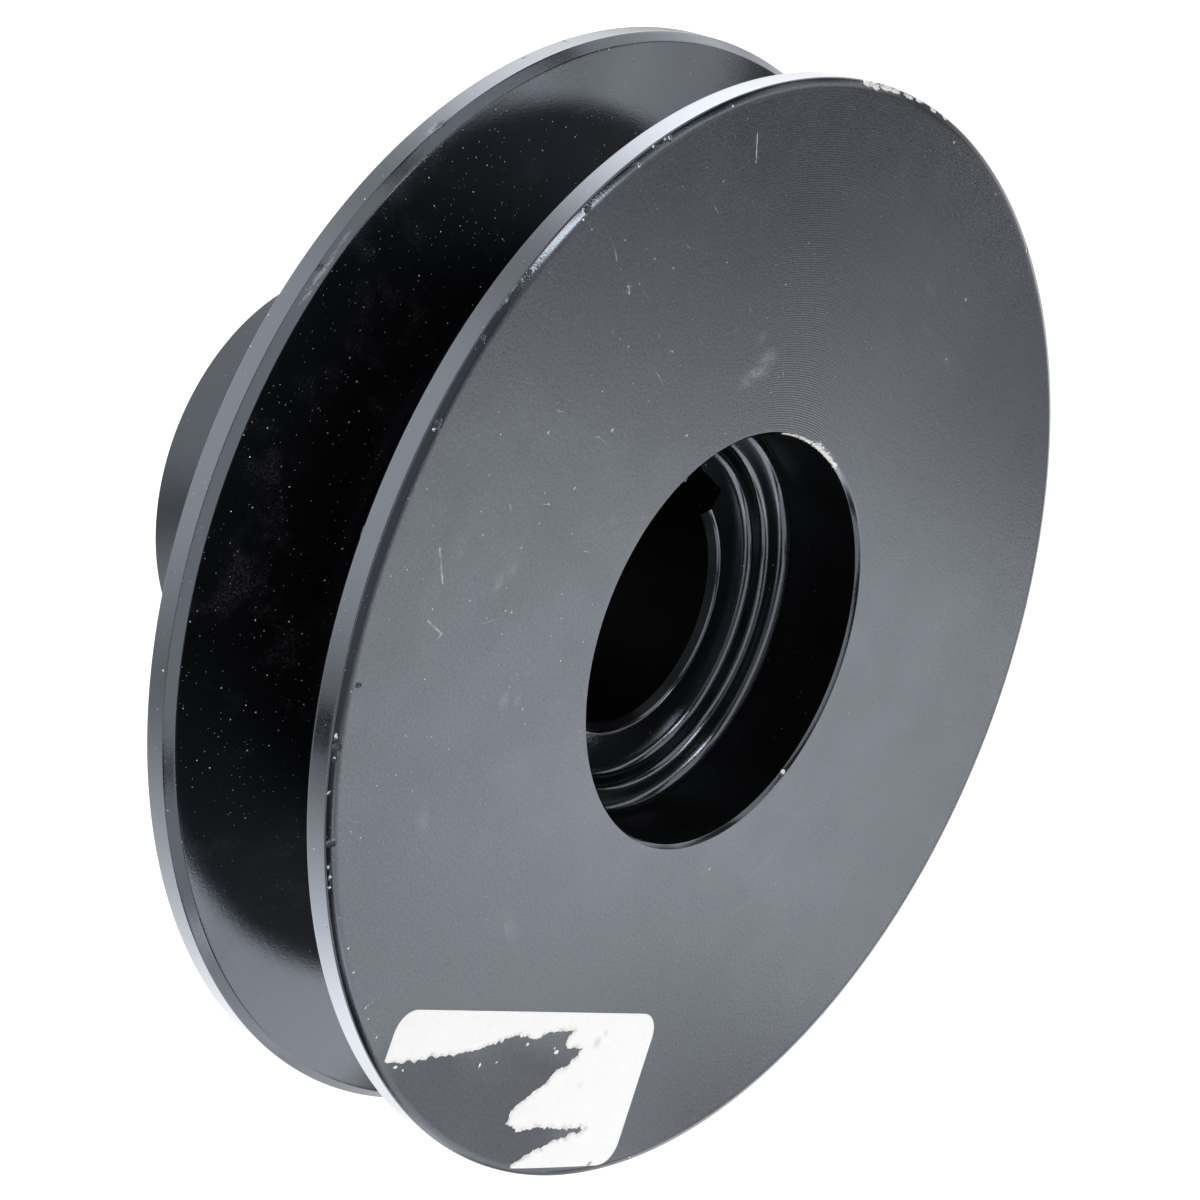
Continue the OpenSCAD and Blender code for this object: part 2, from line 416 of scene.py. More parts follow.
# Where those specks gather: (angle, spread, radius, spread)
SPECK_CLUSTERS = [(181, 9, 38.5, 3.6), (153, 4, 44, 1.8), (205, 12, 42, 6)]
SCRATCH_HALF_W = 0.11
rng = np.random.default_rng(20)


def random_marks():
    """Small chips on the sides that the photo doesn't show, and fine specks on the face's left half."""
    chips = []
    for _ in range(RANDOM_RIM_CHIPS):
        angle = rng.uniform(*UNSEEN_SIDE)
        size = rng.uniform(0.12, 0.34)
        chips.append([
            on_face(angle, 56.7, size, size, 0.06),
            (angle, OUTER_R - 0.4, 55.1, size, 0.22, 0.06),
            (angle, OUTER_R - 0.4, 37.2, size, 0.22, 0.06),
            (angle, OUTER_R - 0.15, HUB_LEN + 0.15, size, 0.24, 0.08),
            (angle, HUB_R - 0.1, 0.2, size, 0.24, 0.08),
        ][rng.integers(0, 5)])
    specks = []
    for _ in range(RANDOM_FACE_SPECKS):
        middle, spread, r, r_spread = SPECK_CLUSTERS[rng.choice(3)]
        angle = rng.normal(middle, spread)
        r = float(np.clip(rng.normal(r, r_spread), 24, 54))
        specks.append((angle, r, rng.uniform(0.08, 0.15)))
    return chips, specks


def point_at(angle, r, z):
    angle = math.radians(angle)
    return np.array([r * math.cos(angle), r * math.sin(angle), z]) * MM


def all_marks():
    """Every mark as (kind, middle, unit vector along it, half length, half width, depth or strength)."""
    more_chips, more_specks = random_marks()
    marks = []

    def add(kind, angle, r, z, along, across, amount):
        turn = math.radians(angle)
        tangent = np.array([-math.sin(turn), math.cos(turn), 0])
        marks.append((kind, point_at(angle, r, z), tangent, along * MM, across * MM, amount))

    for kind, table in (("chip", CHIPS + more_chips), ("dent", DENTS), ("scrape", SCRAPES)):
        for mark in table:
            add(kind, *mark)
    for angle, r, size in SPECKS + more_specks:
        add("speck", angle, r, FRONT_Z, size, size * rng.uniform(0.55, 1), 1)
    for kind, table in (("smudge", SMUDGES), ("dark", DARK_SPOTS)):
        for angle, r, *rest in table:
            add(kind, angle, r, FRONT_Z, *rest)
    for angle_a, r_a, angle_b, r_b in SCRATCHES:
        start = point_at(angle_a, r_a, FRONT_Z)
        end = point_at(angle_b, r_b, FRONT_Z)
        length = float(np.linalg.norm(end - start))
        along = (end - start) / length
        marks.append(("scratch", (start + end) / 2, along, length / 2, SCRATCH_HALF_W * MM, 1))
    return marks


def dots(first, second):
    """The dot product of each pair of rows."""
    return np.einsum("ij,ij->i", first, second)


def way_to_edges(starts, ends, point):
    """The way from a point to the nearest place on each edge."""
    run = ends - starts
    share = dots(point - starts, run) / np.maximum(dots(run, run), 1e-18)
    nearest = starts + run * np.clip(share, 0, 1)[:, None]
    return nearest - point


# Longest edges under marks of shape and of tone: (share of a mark's half width, least, most)
SHAPE_EDGE = (0.55, 0.11, 0.45)
TONE_EDGE = (0.4, 0.2, 0.5)


def refine(work, marks):
    """Splits the edges under each mark until they are short enough to carry its shape."""
    for _ in range(6):
        work.edges.ensure_lookup_table()
        starts = np.array([e.verts[0].co for e in work.edges])
        ends = np.array([e.verts[1].co for e in work.edges])
        middles = ((starts + ends) / 2).T.copy()
        length = np.linalg.norm(ends - starts, axis=1)
        chosen = np.zeros(len(length), bool)
        for kind, middle, along, half_length, half_width, _ in marks:
            reach = 1.25 * max(half_length, half_width) + 0.2 * MM + length / 2
            near = np.nonzero((abs(middles - middle[:, None]) < reach).all(axis=0))[0]
            if len(near) == 0:
                continue
            offset = way_to_edges(starts[near], ends[near], middle)
            u = offset @ along
            v = np.sqrt(np.maximum(dots(offset, offset) - u * u, 0))
            inside = (np.abs(u) < half_length * 1.25 + 0.1 * MM) & (v < half_width * 1.25 + 0.1 * MM)
            share, least, most = TONE_EDGE if kind in ("smudge", "dark") else SHAPE_EDGE
            wanted = np.clip(half_width * share, least * MM, most * MM)
            chosen[near[inside & (length[near] > wanted)]] = True
        if not chosen.any():
            return
        edges = [work.edges[i] for i in np.nonzero(chosen)[0]]
        bmesh.ops.subdivide_edges(work, edges=edges, cuts=1, use_grid_fill=True)


def back_to_round(co):
    """Moves points that lie on a flat facet of the lathe out to the round surface."""
    step = 2 * math.pi / SEGMENTS
    angle = np.arctan2(co[:, 1], co[:, 0])
    offset = (angle / step - np.floor(angle / step) - 0.5) * step
    return co * np.stack([np.cos(offset) / math.cos(step / 2)] * 2 + [np.ones(len(co))], axis=1)


def ragged(u, v, seed):
    """A smooth random field of about 1 in size, to break up the outline of a mark."""
    local = np.random.default_rng(seed)
    total = np.zeros(len(u))
    for scale, weight in ((1.3, 0.5), (2.9, 0.32), (6.1, 0.2)):
        for _ in range(3):
            direction = local.uniform(0, 2 * math.pi)
            phase = local.uniform(0, 2 * math.pi)
            wave = (u * math.cos(direction) + v * math.sin(direction)) * scale + phase
            total += weight * np.sin(wave)
    return total / 1.6


def smooth(low, high, x):
    t = np.clip((x - low) / (high - low), 0, 1)
    return t * t * (3 - 2 * t)


def glue_film(points):
    """How much old glue dulls the front face where the label was torn off."""
    along, up = ((points[:, :2] - LABEL_CENTRE) @ LABEL_AXES.T).T
    film = smooth(-25, -18, along) * (1 - smooth(7, 14, along)) * (1 - smooth(3, 8, up))
    return np.where(points[:, 2] > FRONT_Z - 0.2, film, 0)


MARK_KINDS = ("chip", "dent", "speck", "smudge", "dark", "scratch", "scrape")


def apply_marks(mesh, marks):
    """Writes each mark into vertex attributes, and sinks or raises the surface under it."""
    co = vectors(mesh.vertices, "co")
    normals = vectors(mesh.vertex_normals, "vector")
    layers = {name: np.zeros(len(co)) for name in MARK_KINDS}
    sink = np.zeros(len(co))
    for seed, (kind, middle, along, half_length, half_width, amount) in enumerate(marks):
        offset = co - middle
        reach = 1.8 * max(half_length, half_width)
        near = np.nonzero(dots(offset, offset) < reach * reach)[0]
        offset = offset[near]
        u = offset @ along
        across = offset - u[:, None] * along
        side = np.cross(normals[near], along)
        v = np.linalg.norm(across, axis=1) * np.sign(dots(across, side) + 1e-12)
        distance = np.hypot(u / half_length, v / half_width)
        rough = ragged(u / half_width, v / half_width, seed)
        distance = distance + 0.32 * rough * smooth(0.1, 0.8, distance)
        if kind in ("chip", "scrape"):
            sink[near] += (1 - smooth(0.5, 1, distance)) * amount * MM * (1 + 0.35 * rough)
            value = 1 - smooth(0.2, 1.3, distance)
        elif kind == "dent":
            value = 1 - smooth(0.3, 1.05, distance)
            rim = np.exp(-((distance - 1.1) / 0.18) ** 2)
            sink[near] += (value - 0.18 * rim) * amount * MM
            value = value * (0.6 + 0.4 * rough)
        elif kind == "scratch":
            dotted = 0.55 + 0.6 * ragged(u / (0.5 * MM), v * 0, seed)
            value = (1 - smooth(0.4, 1, np.abs(v) / half_width)) * (np.abs(u) < half_length)
            value = value * np.clip(dotted, 0, 1)
            sink[near] += value * 0.01 * MM
        elif kind == "speck":
            value = 1 - smooth(0.55, 1, distance)
            sink[near] -= value * 0.02 * MM
        else:
            value = amount * (1 - smooth(0.1, 1.2, distance)) * np.clip(0.75 + 0.6 * rough, 0, 1)
        layers[kind][near] = np.maximum(layers[kind][near], np.clip(value, 0, 1))
    layers["film"] = glue_film(co / MM)
    co -= normals * sink[:, None]
    radius = np.hypot(co[:, 0], co[:, 1])
    co[:, :2] *= np.minimum(1, OUTER_R * MM / np.maximum(radius, 1e-9))[:, None]
    mesh.vertices.foreach_set("co", co.reshape(-1))
    for name, values in layers.items():
        layer = mesh.attributes.new(name, "FLOAT", "POINT")
        layer.data.foreach_set("value", values.astype(np.float32))
    mesh.update()


def build_pulley():
    body = add_object("turned_pulley", lathe_mesh("turned_pulley", half_section()))
    cut_keyway(body)
    marks = all_marks()
    work = bmesh.new()
    work.from_mesh(body.data)
    refine(work, marks)
    work.to_mesh(body.data)
    work.free()
    co = back_to_round(vectors(body.data.vertices, "co"))
    body.data.vertices.foreach_set("co", co.reshape(-1))
    body.data.update()
    apply_marks(body.data, marks)
    shade_smooth(body.data, 38)
    return body


def assign_coatings(mesh):
    """Gives each region of the body its version of the coating, by its place in COATINGS."""
    centre = vectors(mesh.polygons, "center") / MM
    rise = vectors(mesh.polygons, "normal")[:, 2]
    radius = np.hypot(centre[:, 0], centre[:, 1])
    height = centre[:, 2]
    in_groove = (np.abs(height - GROOVE_Z) < GROOVE_HALF_W) & (radius > HUB_R + 5)
    dark_groove = in_groove & (radius < OUTER_R - GROOVE_BREAK) & (rise < 0.5)
    rear_flank = in_groove & (radius < OUTER_R - GROOVE_BREAK * 0.9) & (rise > 0.5)
    recess_wall = (radius < RECESS_R + 0.05) & (height > STEP_FLOOR_Z + 3)
    recess_wall &= height < FRONT_Z - RECESS_CHAMFER
    bore = (radius < BORE_R + KEY_DEPTH + 0.1) & (np.abs(rise) < 0.3)
    bore |= (radius < BORE_R + BORE_CHAMFER * 0.8) & (height > STEP_FLOOR_Z - 2)
    floors = (radius < RECESS_R - 0.02) & (rise > 0.15)
    floors &= (height > STEP_FLOOR_Z - 1.5) & (height < FRONT_Z - 8)
    # Slot 1 is the less reflective copy, which paints shade into the bore, the groove's underside and
    # floor, and the recess wall
    slots = np.select([bore, floors, dark_groove | recess_wall, rear_flank], [1, 3, 1, 2], 0)
    mesh.polygons.foreach_set("material_index", slots.astype(np.int32))


# The torn label
def label_outline():
    """The outline, counter-clockwise from the tear with its fine fibres, and how many points are torn."""
    torn = []
    local = np.random.default_rng(7)
    for start, end in zip(TORN_EDGE[:-1], TORN_EDGE[1:]):
        start, end = np.array(start), np.array(end)
        run = end - start
        length = float(np.linalg.norm(run))
        side = np.array([-run[1], run[0]]) / length
        count = max(2, round(length / 0.11))
        rates = local.uniform(0.5, 9, 8)
        waves = [(rate, local.uniform(0, 7), local.normal(0, 0.16) / (1 + 0.6 * rate)) for rate in rates]
        for i in range(count):
            s = i / count
            fade = min(1, 2.5 * s * length, 2.5 * (1 - s) * length)
            ripple = local.normal(0, 0.03)
            ripple += sum(size * math.sin(rate * s * length + phase) for rate, phase, size in waves)
            torn.append(start + run * s + side * fade * ripple)
    torn.append(np.array(TORN_EDGE[-1]))
    x, y, r = LABEL_L / 2 - LABEL_END_GAP, LABEL_H / 2, LABEL_CORNER_R
    cut = []
    for cx, cy, first in ((x - r, -y + r, -90), (x - r, y - r, 0), (-x + r, y - r, 90)):
        for i in range(11):
            k = math.radians(first + 9 * i)
            cut.append(np.array([cx + r * math.cos(k), cy + r * math.sin(k)]))
    ring = torn + with_steps(torn[-1], cut, torn[0])
    return np.array(ring), len(torn)


def with_steps(first, points, last):
    """The cut edges from one end to the other, with a point at least every 0.6 mm."""
    chain = [first] + points + [last]
    result = []
    for start, end in zip(chain[:-1], chain[1:]):
        count = max(1, math.ceil(float(np.linalg.norm(end - start)) / 0.6))
        result.extend(start + (end - start) * i / count for i in range(count))
    return result[1:]


def distance_to_line(points, line):
    """Distance of each point to a chain of points."""
    best = np.full(len(points), 1e9)
    for start, end in zip(line[:-1], line[1:]):
        run = end - start
        s = np.clip(((points - start) @ run) / max(run @ run, 1e-12), 0, 1)
        best = np.minimum(best, np.linalg.norm(points - start - s[:, None] * run, axis=1))
    return best


def from_tear_and_cut(points, ring, torn_count):
    """Distances of each point to the torn edge and to the cut edges."""
    cut = np.vstack([ring[torn_count - 1:], ring[:1]])
    return distance_to_line(points, ring[:torn_count]), distance_to_line(points, cut)


def label_triangles(ring, torn_count):
    """Points and triangles inside the ring: fine near the tear, coarser elsewhere."""
    local = np.random.default_rng(11)
    fine = []
    for step, low, high in ((0.22, 0.12, 1.5), (0.7, 1.5, 99)):
        xs = np.arange(-LABEL_L / 2, LABEL_L / 2, step)
        ys = np.arange(-LABEL_H / 2, LABEL_H / 2, step)
        grid = np.stack(np.meshgrid(xs, ys), axis=-1).reshape(-1, 2)
        grid = grid + local.uniform(-0.25, 0.25, grid.shape) * step
        near, edge = from_tear_and_cut(grid, ring, torn_count)
        fine.append(grid[(near > low) & (near <= high) & (edge > 0.25)])
    points = np.vstack([ring, *fine])
    result = delaunay_2d_cdt([Vector(p) for p in points], [], [list(range(len(ring)))], 1, 1e-6)
    faces = [list(f) for f in result[2]]
    kept = sorted({i for face in faces for i in face})
    place = {old: new for new, old in enumerate(kept)}
    return np.array([tuple(result[0][i]) for i in kept]), [[place[i] for i in f] for f in faces]


def paper_part(points, ring, torn_count):
    """How much of its thickness the paper has at each point, and how torn its surface is."""
    near, edge = from_tear_and_cut(points, ring, torn_count)
    local = ragged(points[:, 0] / 0.45, points[:, 1] / 0.45, 3)
    from_tear = 0.2 + 0.8 * smooth(-0.1, 0.75, near + 0.22 * local)
    from_edge = 0.45 + 0.55 * smooth(0, 0.5, edge)
    return np.minimum(from_tear, from_edge), 1 - smooth(0, 0.5, near + 0.2 * local)


def to_face(points):
    """Label coordinates to the front face, in millimetres."""
    return points @ LABEL_AXES + LABEL_CENTRE


def scrap_part(seed, x, y, length, width, turn):
    """A small torn scrap: its points, triangles, thickness and how torn it is."""
    k = np.linspace(0, 2 * math.pi, SCRAP_POINTS, endpoint=False)
    wobble = 1 + 0.3 * ragged(np.cos(k) * 2, np.sin(k) * 2, seed)
    u = np.cos(k) * length / 2 * wobble
    v = np.sin(k) * width / 2 * wobble
    c, s = math.cos(math.radians(turn)), math.sin(math.radians(turn))
    rim = np.stack([x + u * c - v * s, y + u * s + v * c], axis=1)
    fan = [[SCRAP_POINTS, j, (j + 1) % SCRAP_POINTS] for j in range(SCRAP_POINTS)]
    share = np.append(np.full(SCRAP_POINTS, 0.15), 0.4)
    return np.vstack([rim, [[x, y]]]), fan, share, np.ones(SCRAP_POINTS + 1)


def add_paper(work, layer, points, faces, share, tear):
    """Raises flat triangles from the front face to a closed sheet of paper."""
    flat = to_face(points)
    base = np.array([front_height(r) for r in np.hypot(flat[:, 0], flat[:, 1])])
    tops, bottoms = [], []
    for (x, y), low, part, torn in zip(flat, base, share, tear):
        high = min(low + part * LABEL_T, FRONT_Z + LABEL_T)
        for chain, z in ((tops, high), (bottoms, low - SUNK)):
            vert = work.verts.new((x * MM, y * MM, z * MM))
            vert[layer] = torn
            chain.append(vert)
    sides = {}
    for face in faces:
        work.faces.new([tops[i] for i in face])
        work.faces.new([bottoms[i] for i in reversed(face)])
        for a, b in zip(face, face[1:] + face[:1]):
            sides[(a, b)] = True
    for a, b in sides:
        if (b, a) not in sides:
            work.faces.new([tops[b], tops[a], bottoms[a], bottoms[b]])


def build_label():
    ring, torn_count = label_outline()
    points, faces = label_triangles(ring, torn_count)
    work = bmesh.new()
    layer = work.verts.layers.float.new("tear")
    add_paper(work, layer, points, faces, *paper_part(points, ring, torn_count))
    for i, scrap in enumerate(SCRAPS):
        add_paper(work, layer, *scrap_part(FIRST_SCRAP_SEED + i, *scrap))
    bmesh.ops.recalc_face_normals(work, faces=work.faces)
    mesh = finished("torn_label", work)
    shade_smooth(mesh, 40)
    return add_object("torn_label", mesh)


# Materials
def level_direction(azimuth):
    return (math.cos(math.radians(azimuth)), math.sin(math.radians(azimuth)), 0)


RINGED_SIDE = level_direction(124)
DUSTY_SIDE = level_direction(172)
BUMP_HEIGHT = 0.004
TURNING_FEED = 0.243
# How much rougher the coating is in dull marks
DULL_MARKS = {"dent": 0.7, "dark": 0.35, "film": 0.3}
DULL_METAL = (0.5, 0.48, 0.44, 1)
BRIGHT_METAL = (0.84, 0.82, 0.77, 1)
# Versions of the coating: (name, index of refraction, roughness of the front face and elsewhere,
# share of dust, haze, grit), for open surfaces, for painted shade (a less reflective copy on the
# groove's underside and floor, the recess wall and the bore), the rear flank of the groove, and
# the floors of the recess and its step
COATINGS = [
    ("black_coating", 2.25, 0.336, 0.13, 0.13, 0, 0.075),
    ("sheltered_coating", 1.3, 0.3, 0.3, 0.1, 0, 0),
    ("flank_coating", 2.25, 0.13, 0.13, 0.3, 0.08, 0),
    ("recess_coating", 2.25, 0.12, 0.12, 0.1, 0, 0),
]
# Stains on the label: (place from its centre, radius, share, colour)
STAINS = [
    ((17.4, -8.1), 0.45, 0.75, (0.3, 0.21, 0.13, 1)),
    ((11.8, 5.2), 0.75, 0.45, (0.5, 0.5, 0.51, 1)),
    ((12.8, 6.2), 0.5, 0.3, (0.5, 0.5, 0.51, 1)),
    ((11.2, 0.6), 0.6, 0.2, (0.6, 0.6, 0.61, 1)),
]


def add_node(tree, kind, inputs=None, **settings):
    """Adds a node with its properties, and with values or links on its inputs."""
    node = tree.nodes.new(kind)
    for name, value in settings.items():
        setattr(node, name, value)
    for key, value in (inputs or {}).items():
        if isinstance(value, bpy.types.NodeSocket):
            tree.links.new(value, node.inputs[key])
        else:
            node.inputs[key].default_value = value
    return node


def calc(tree, operation, *values):
    """A math node on numbers or links."""
    inputs = dict(enumerate(values))
    return add_node(tree, "ShaderNodeMath", inputs, operation=operation).outputs[0]


def times(tree, first, second):
    return calc(tree, "MULTIPLY", first, second)


def weighted_sum(tree, *terms):
    """Adds values, each given with its weight."""
    total = 0.0
    for value, weight in terms:
        total = calc(tree, "MULTIPLY_ADD", value, weight, total)
    return total


def vector_calc(tree, operation, *values):
    """A vector math node on vectors or links."""
    node = add_node(tree, "ShaderNodeVectorMath", dict(enumerate(values)), operation=operation)
    return node.outputs["Value" if operation in ("LENGTH", "DOT_PRODUCT") else "Vector"]


def remap(tree, value, low, high, to_low=0, to_high=1):
    """Carries a value smoothly from one range to another."""
    inputs = {"Value": value, "From Min": low, "From Max": high, "To Min": to_low, "To Max": to_high}
    node = add_node(tree, "ShaderNodeMapRange", inputs, interpolation_type="SMOOTHSTEP", clamp=True)
    return node.outputs["Result"]


def blend(tree, share, first, second):
    """Mixes two colours."""
    node = add_node(tree, "ShaderNodeMix", {0: share, 6: first, 7: second}, data_type="RGBA")
    return node.outputs[2]


def noise(tree, place, scale, detail=2, roughness=0.5):
    inputs = {"Vector": place, "Scale": scale, "Detail": detail, "Roughness": roughness}
    return add_node(tree, "ShaderNodeTexNoise", inputs).outputs["Fac"]


def grey(value, blue=0):
    return (value, value, value * (1 + blue), 1)


def attribute(tree, name):
    return add_node(tree, "ShaderNodeAttribute", attribute_name=name).outputs["Fac"]


def place_in_mm(tree):
    """The place on the piece, in millimetres."""
    place = vector_calc(tree, "SCALE", add_node(tree, "ShaderNodeTexCoord").outputs["Object"])
    place.node.inputs["Scale"].default_value = 1 / MM
    return place


def split_xyz(tree, vector):
    return add_node(tree, "ShaderNodeSeparateXYZ", {0: vector}).outputs


def dust(tree, place, per_mm, size, share):
    """Round specks on part of the cells of a grid, with their own strengths."""
    inputs = {"Vector": place, "Scale": per_mm, "Randomness": 1}
    cells = add_node(tree, "ShaderNodeTexVoronoi", inputs, voronoi_dimensions="2D")
    luck = add_node(tree, "ShaderNodeSeparateColor", {0: cells.outputs["Color"]})
    there = calc(tree, "LESS_THAN", luck.outputs[0], share)
    strength = times(tree, there, calc(tree, "POWER", luck.outputs[1], 2.2))
    spot = remap(tree, cells.outputs["Distance"], size, size * 0.45)
    return times(tree, spot, strength)


def ragged_edge(tree, soft, speckle):
    """Turns a soft mark into one with a crumbled outline."""
    return remap(tree, calc(tree, "ADD", soft, remap(tree, speckle, 0.3, 0.7, -0.4, 0.4)), 0.42, 0.6)


def start_material(name):
    material = bpy.data.materials.new(name)
    material.use_nodes = True
    return material, material.node_tree, material.node_tree.nodes["Principled BSDF"]


def unrolled(tree, flat, x, y, height, facing):
    """Flat coordinates of the surface: x and y on a face, arc length and height on a wall."""
    arc = times(tree, calc(tree, "ARCTAN2", y, x), OUTER_R)
    wall = add_node(tree, "ShaderNodeCombineXYZ", {0: arc, 1: height}).outputs[0]
    inputs = {0: calc(tree, "GREATER_THAN", facing, 0.5), 4: wall, 5: flat}
    return add_node(tree, "ShaderNodeMix", inputs, data_type="VECTOR").outputs[1]


def coating_patterns(tree, dust_share):
    """What the coating's look is made of: turned rings, an uneven coat, dust and marks."""
    place = place_in_mm(tree)
    x, y, height = split_xyz(tree, place)
    flat = vector_calc(tree, "MULTIPLY", place, (1, 1, 0))
    radius = vector_calc(tree, "LENGTH", flat)
    outward = vector_calc(tree, "NORMALIZE", flat)
    around = vector_calc(tree, "CROSS_PRODUCT", (0, 0, 1), outward)
    normal = add_node(tree, "ShaderNodeNewGeometry").outputs["Normal"]
    across = vector_calc(tree, "NORMALIZE", vector_calc(tree, "CROSS_PRODUCT", normal, around))
    facing = calc(tree, "ABSOLUTE", split_xyz(tree, normal)[2])

    ring_place = add_node(tree, "ShaderNodeCombineXYZ", {0: radius, 1: height}).outputs[0]
    ring_phase = times(tree, calc(tree, "ADD", radius, height), 2 * math.pi / TURNING_FEED)
    crumbs = noise(tree, place, 6.5, 4, 0.75)

    dusty_side = vector_calc(tree, "DOT_PRODUCT", outward, DUSTY_SIDE)
    dusty_side = remap(tree, dusty_side, -0.1, 0.95, 0.3, 1)
    dust_place = unrolled(tree, flat, x, y, height, facing)
    fine_dust = times(tree, dust(tree, dust_place, 2.2, 0.15, dust_share * 0.45), dusty_side)
    coarse_dust = times(tree, dust(tree, dust_place, 0.6, 0.052, dust_share), dusty_side)
    return SimpleNamespace(
        outward=outward, across=across, facing=facing, fine_dust=fine_dust, coarse_dust=coarse_dust,
        flat_share=remap(tree, facing, 0.96, 0.995),
        fine_rings=times(tree, calc(tree, "SINE", ring_phase), 0.5),
        wide_rings=noise(tree, ring_place, 1.3, 2),
        grain=noise(tree, place, 5, 3, 0.6),
        peel=noise(tree, place, 3.2, 2, 0.6),
        clouds=noise(tree, place, 0.16, 3, 0.6),
        fibres=noise(tree, place, 1.1, 4, 0.7),
        specks=calc(tree, "MAXIMUM", times(tree, fine_dust, 0.4), coarse_dust),
        smudge=times(tree, attribute(tree, "smudge"), remap(tree, crumbs, 0.42, 0.62, 0.1, 1)),
        chip=ragged_edge(tree, attribute(tree, "chip"), crumbs),
    )


def coating_colour(tree, s, haze, grit):
    """Near black, with grit on the flat face, haze, dust and the marks."""
    colour = blend(tree, s.clouds, grey(0.0008, 0.12), grey(0.0016, 0.12))
    if grit:
        share = times(tree, remap(tree, s.peel, 0.35, 0.7, 0, grit), s.flat_share)
        colour = blend(tree, share, colour, grey(0.35, 0.1))
    colour = blend(tree, times(tree, s.fine_dust, 0.7), colour, grey(0.4, 0.05))
    if haze:
        film = times(tree, remap(tree, s.clouds, 0.5, 0.72), remap(tree, s.grain, 0.4, 0.75))
        colour = blend(tree, times(tree, film, haze), colour, grey(0.3, 0.15))
    scrape = times(tree, attribute(tree, "scrape"), remap(tree, s.fibres, 0.35, 0.6, 0.2, 1))
    for share, mark_colour in (
        (s.coarse_dust, grey(0.85, -0.03)),
        (times(tree, s.smudge, 0.8), grey(0.3, 0.02)),
        (attribute(tree, "speck"), grey(0.36)),
        (attribute(tree, "scratch"), grey(0.42)),
        (scrape, grey(0.3, 0.04)),
        (s.chip, blend(tree, remap(tree, s.grain, 0.3, 0.7), DULL_METAL, BRIGHT_METAL)),
    ):
        colour = blend(tree, share, colour, mark_colour)
    return colour


def coating_roughness(tree, s, face_roughness, edge_roughness):
    """Rougher on the flat face than on the walls and edges, and rougher under dust and marks."""
    return weighted_sum(
        tree,
        (remap(tree, s.facing, 0.935, 0.99, edge_roughness, face_roughness), 1),
        (remap(tree, s.clouds, 0.25, 0.75, -0.018, 0.018), 1),
        *((attribute(tree, name), weight) for name, weight in DULL_MARKS.items()),
        (s.specks, 0.3), (s.smudge, 0.12), (s.chip, 0.15),
    )


def coating_relief(tree, s):
    """A bump of turned rings, most on one side of the face, with grain, peel and specks."""
    ringed_side = vector_calc(tree, "DOT_PRODUCT", s.outward, RINGED_SIDE)
    ringed_side = remap(tree, ringed_side, 0.5, 0.95, 0.15, 1.7)
    turned_wall = remap(tree, s.facing, 0.5, 0.2, 0, 0.5)
    ring_depth = calc(tree, "MULTIPLY_ADD", ringed_side, s.flat_share, turned_wall)
    shape = weighted_sum(
        tree,
        (s.fine_rings, ring_depth), (s.wide_rings, 0.9), (s.grain, 2),
        (times(tree, s.peel, s.flat_share), 4), (s.specks, 3),
    )
    inputs = {"Height": shape, "Strength": 1, "Distance": BUMP_HEIGHT * MM}
    return add_node(tree, "ShaderNodeBump", inputs).outputs[0]


def coating_material(name, ior, face_roughness, edge_roughness, dust_share, haze, grit):
    """Black satin coating over turned metal."""
    material, tree, shader = start_material(name)
    s = coating_patterns(tree, dust_share)
    roughness = coating_roughness(tree, s, face_roughness, edge_roughness)
    tree.links.new(coating_colour(tree, s, haze, grit), shader.inputs["Base Color"])
    tree.links.new(roughness, shader.inputs["Roughness"])
    tree.links.new(coating_relief(tree, s), shader.inputs["Normal"])
    tree.links.new(s.across, shader.inputs["Tangent"])
    shader.inputs["IOR"].default_value = ior
    shader.inputs["Anisotropic"].default_value = 0.556
    shader.inputs["Specular Tint"].default_value = (0.78, 0.865, 1, 1)
    return material


def blot(tree, place, centre, size, wobble):
    """A soft ragged spot round a point of the label."""
    x, y = to_face(np.array([centre]))[0]
    offset = vector_calc(tree, "SUBTRACT", place, (float(x), float(y), FRONT_Z))
    distance = calc(tree, "DIVIDE", vector_calc(tree, "LENGTH", offset), size)
    return remap(tree, calc(tree, "ADD", distance, remap(tree, wobble, 0.2, 0.8, -0.4, 0.4)), 1.1, 0.35)


def paper_material():
    """Matt white paper with fibres, a little dirt, and rougher, thinner paper along the tear."""
    material, tree, shader = start_material("label_paper")
    place = place_in_mm(tree)
    clouds = noise(tree, place, 0.22, 3, 0.6)
    fibres = noise(tree, place, 2.4, 5, 0.7)
    grain = noise(tree, place, 6, 3, 0.6)
    tear = attribute(tree, "tear")

    colour = blend(tree, clouds, (0.9, 0.9, 0.9, 1), (0.95, 0.95, 0.945, 1))
    colour = blend(tree, remap(tree, fibres, 0.35, 0.75, 0, 0.3), colour, (0.8, 0.8, 0.8, 1))
    torn = remap(tree, fibres, 0.4, 0.6)
    torn = blend(tree, torn, (0.5, 0.49, 0.47, 1), (0.9, 0.89, 0.86, 1))
    colour = blend(tree, times(tree, tear, 0.8), colour, torn)
    for centre, size, share, stain in STAINS:
        spot = times(tree, blot(tree, place, centre, size, fibres), share)
        colour = blend(tree, spot, colour, stain)
    tree.links.new(colour, shader.inputs["Base Color"])
    shape = weighted_sum(tree, (fibres, 1), (grain, 0.3))
    bump = add_node(tree, "ShaderNodeBump", {"Height": shape, "Strength": 1, "Distance": 0.05 * MM})
    tree.links.new(bump.outputs[0], shader.inputs["Normal"])
    tree.links.new(remap(tree, fibres, 0.2, 0.8, 0.7, 0.9), shader.inputs["Roughness"])
    shader.inputs["Specular IOR Level"].default_value = 0.3
    return material


